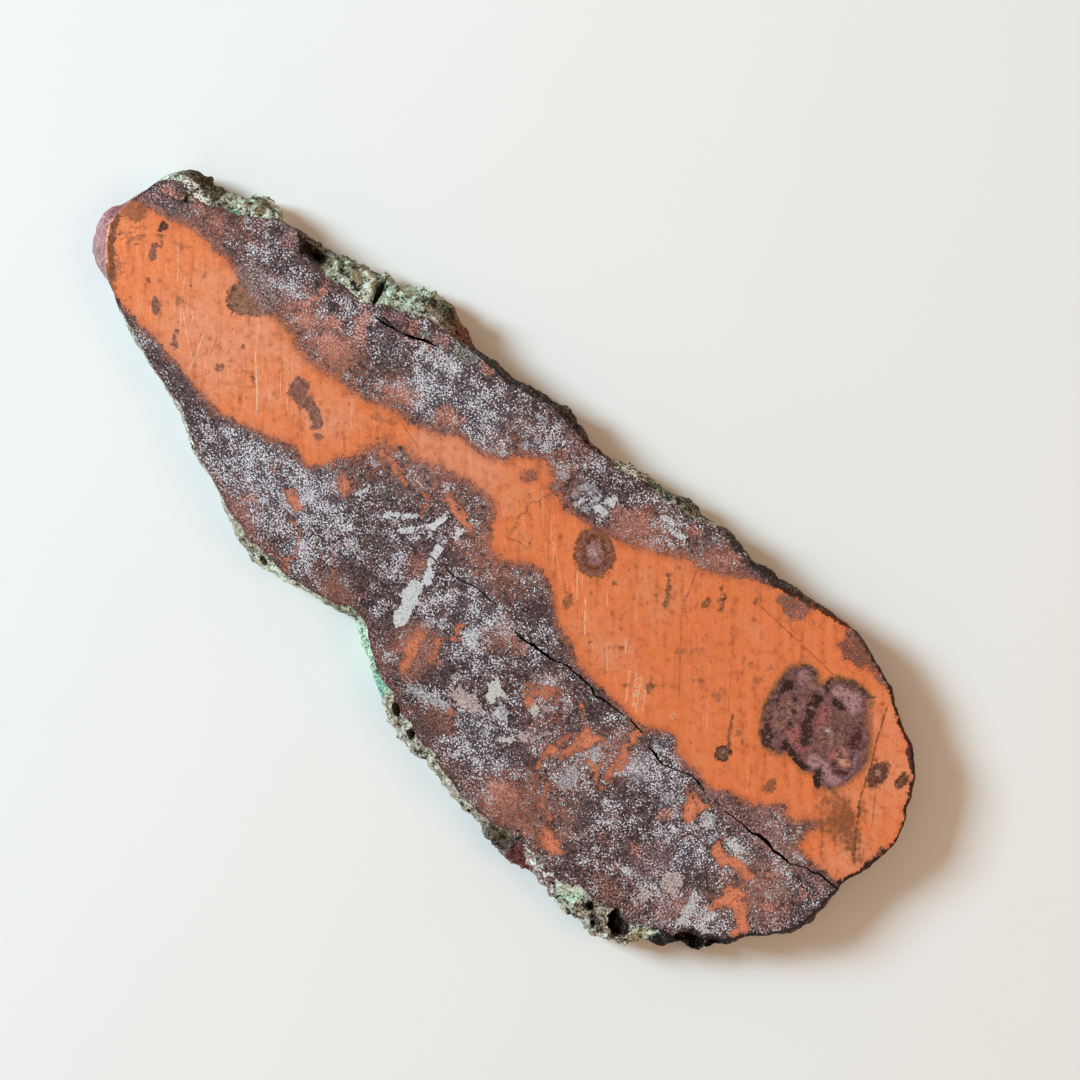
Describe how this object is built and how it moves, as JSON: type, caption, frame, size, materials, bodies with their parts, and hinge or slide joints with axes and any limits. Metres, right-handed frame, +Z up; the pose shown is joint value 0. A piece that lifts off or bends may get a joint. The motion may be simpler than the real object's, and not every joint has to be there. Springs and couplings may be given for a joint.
{
  "type": "native copper slab",
  "caption": "Long flat slab sawn from a natural nugget, two polished faces with a metal band running through dark rock, and a rough natural rim all round.",
  "frame": {"origin": "centre of the slab's outline in plan, on the underside that it lies on", "axes": "+X along the slab's length towards its wide end, +Y across it towards the side with the large green lumps, +Z up out of the polished face"},
  "size_m": [0.177, 0.0712, 0.009],
  "materials": {
    "native_copper": "polished native copper in fine-grained purple-brown basalt with pale crystals, and a rough skin of green and brown copper minerals on the rim"
  },
  "bodies": {
    "root": {"copper_slab": "native_copper"}
  },
  "joints": []
}
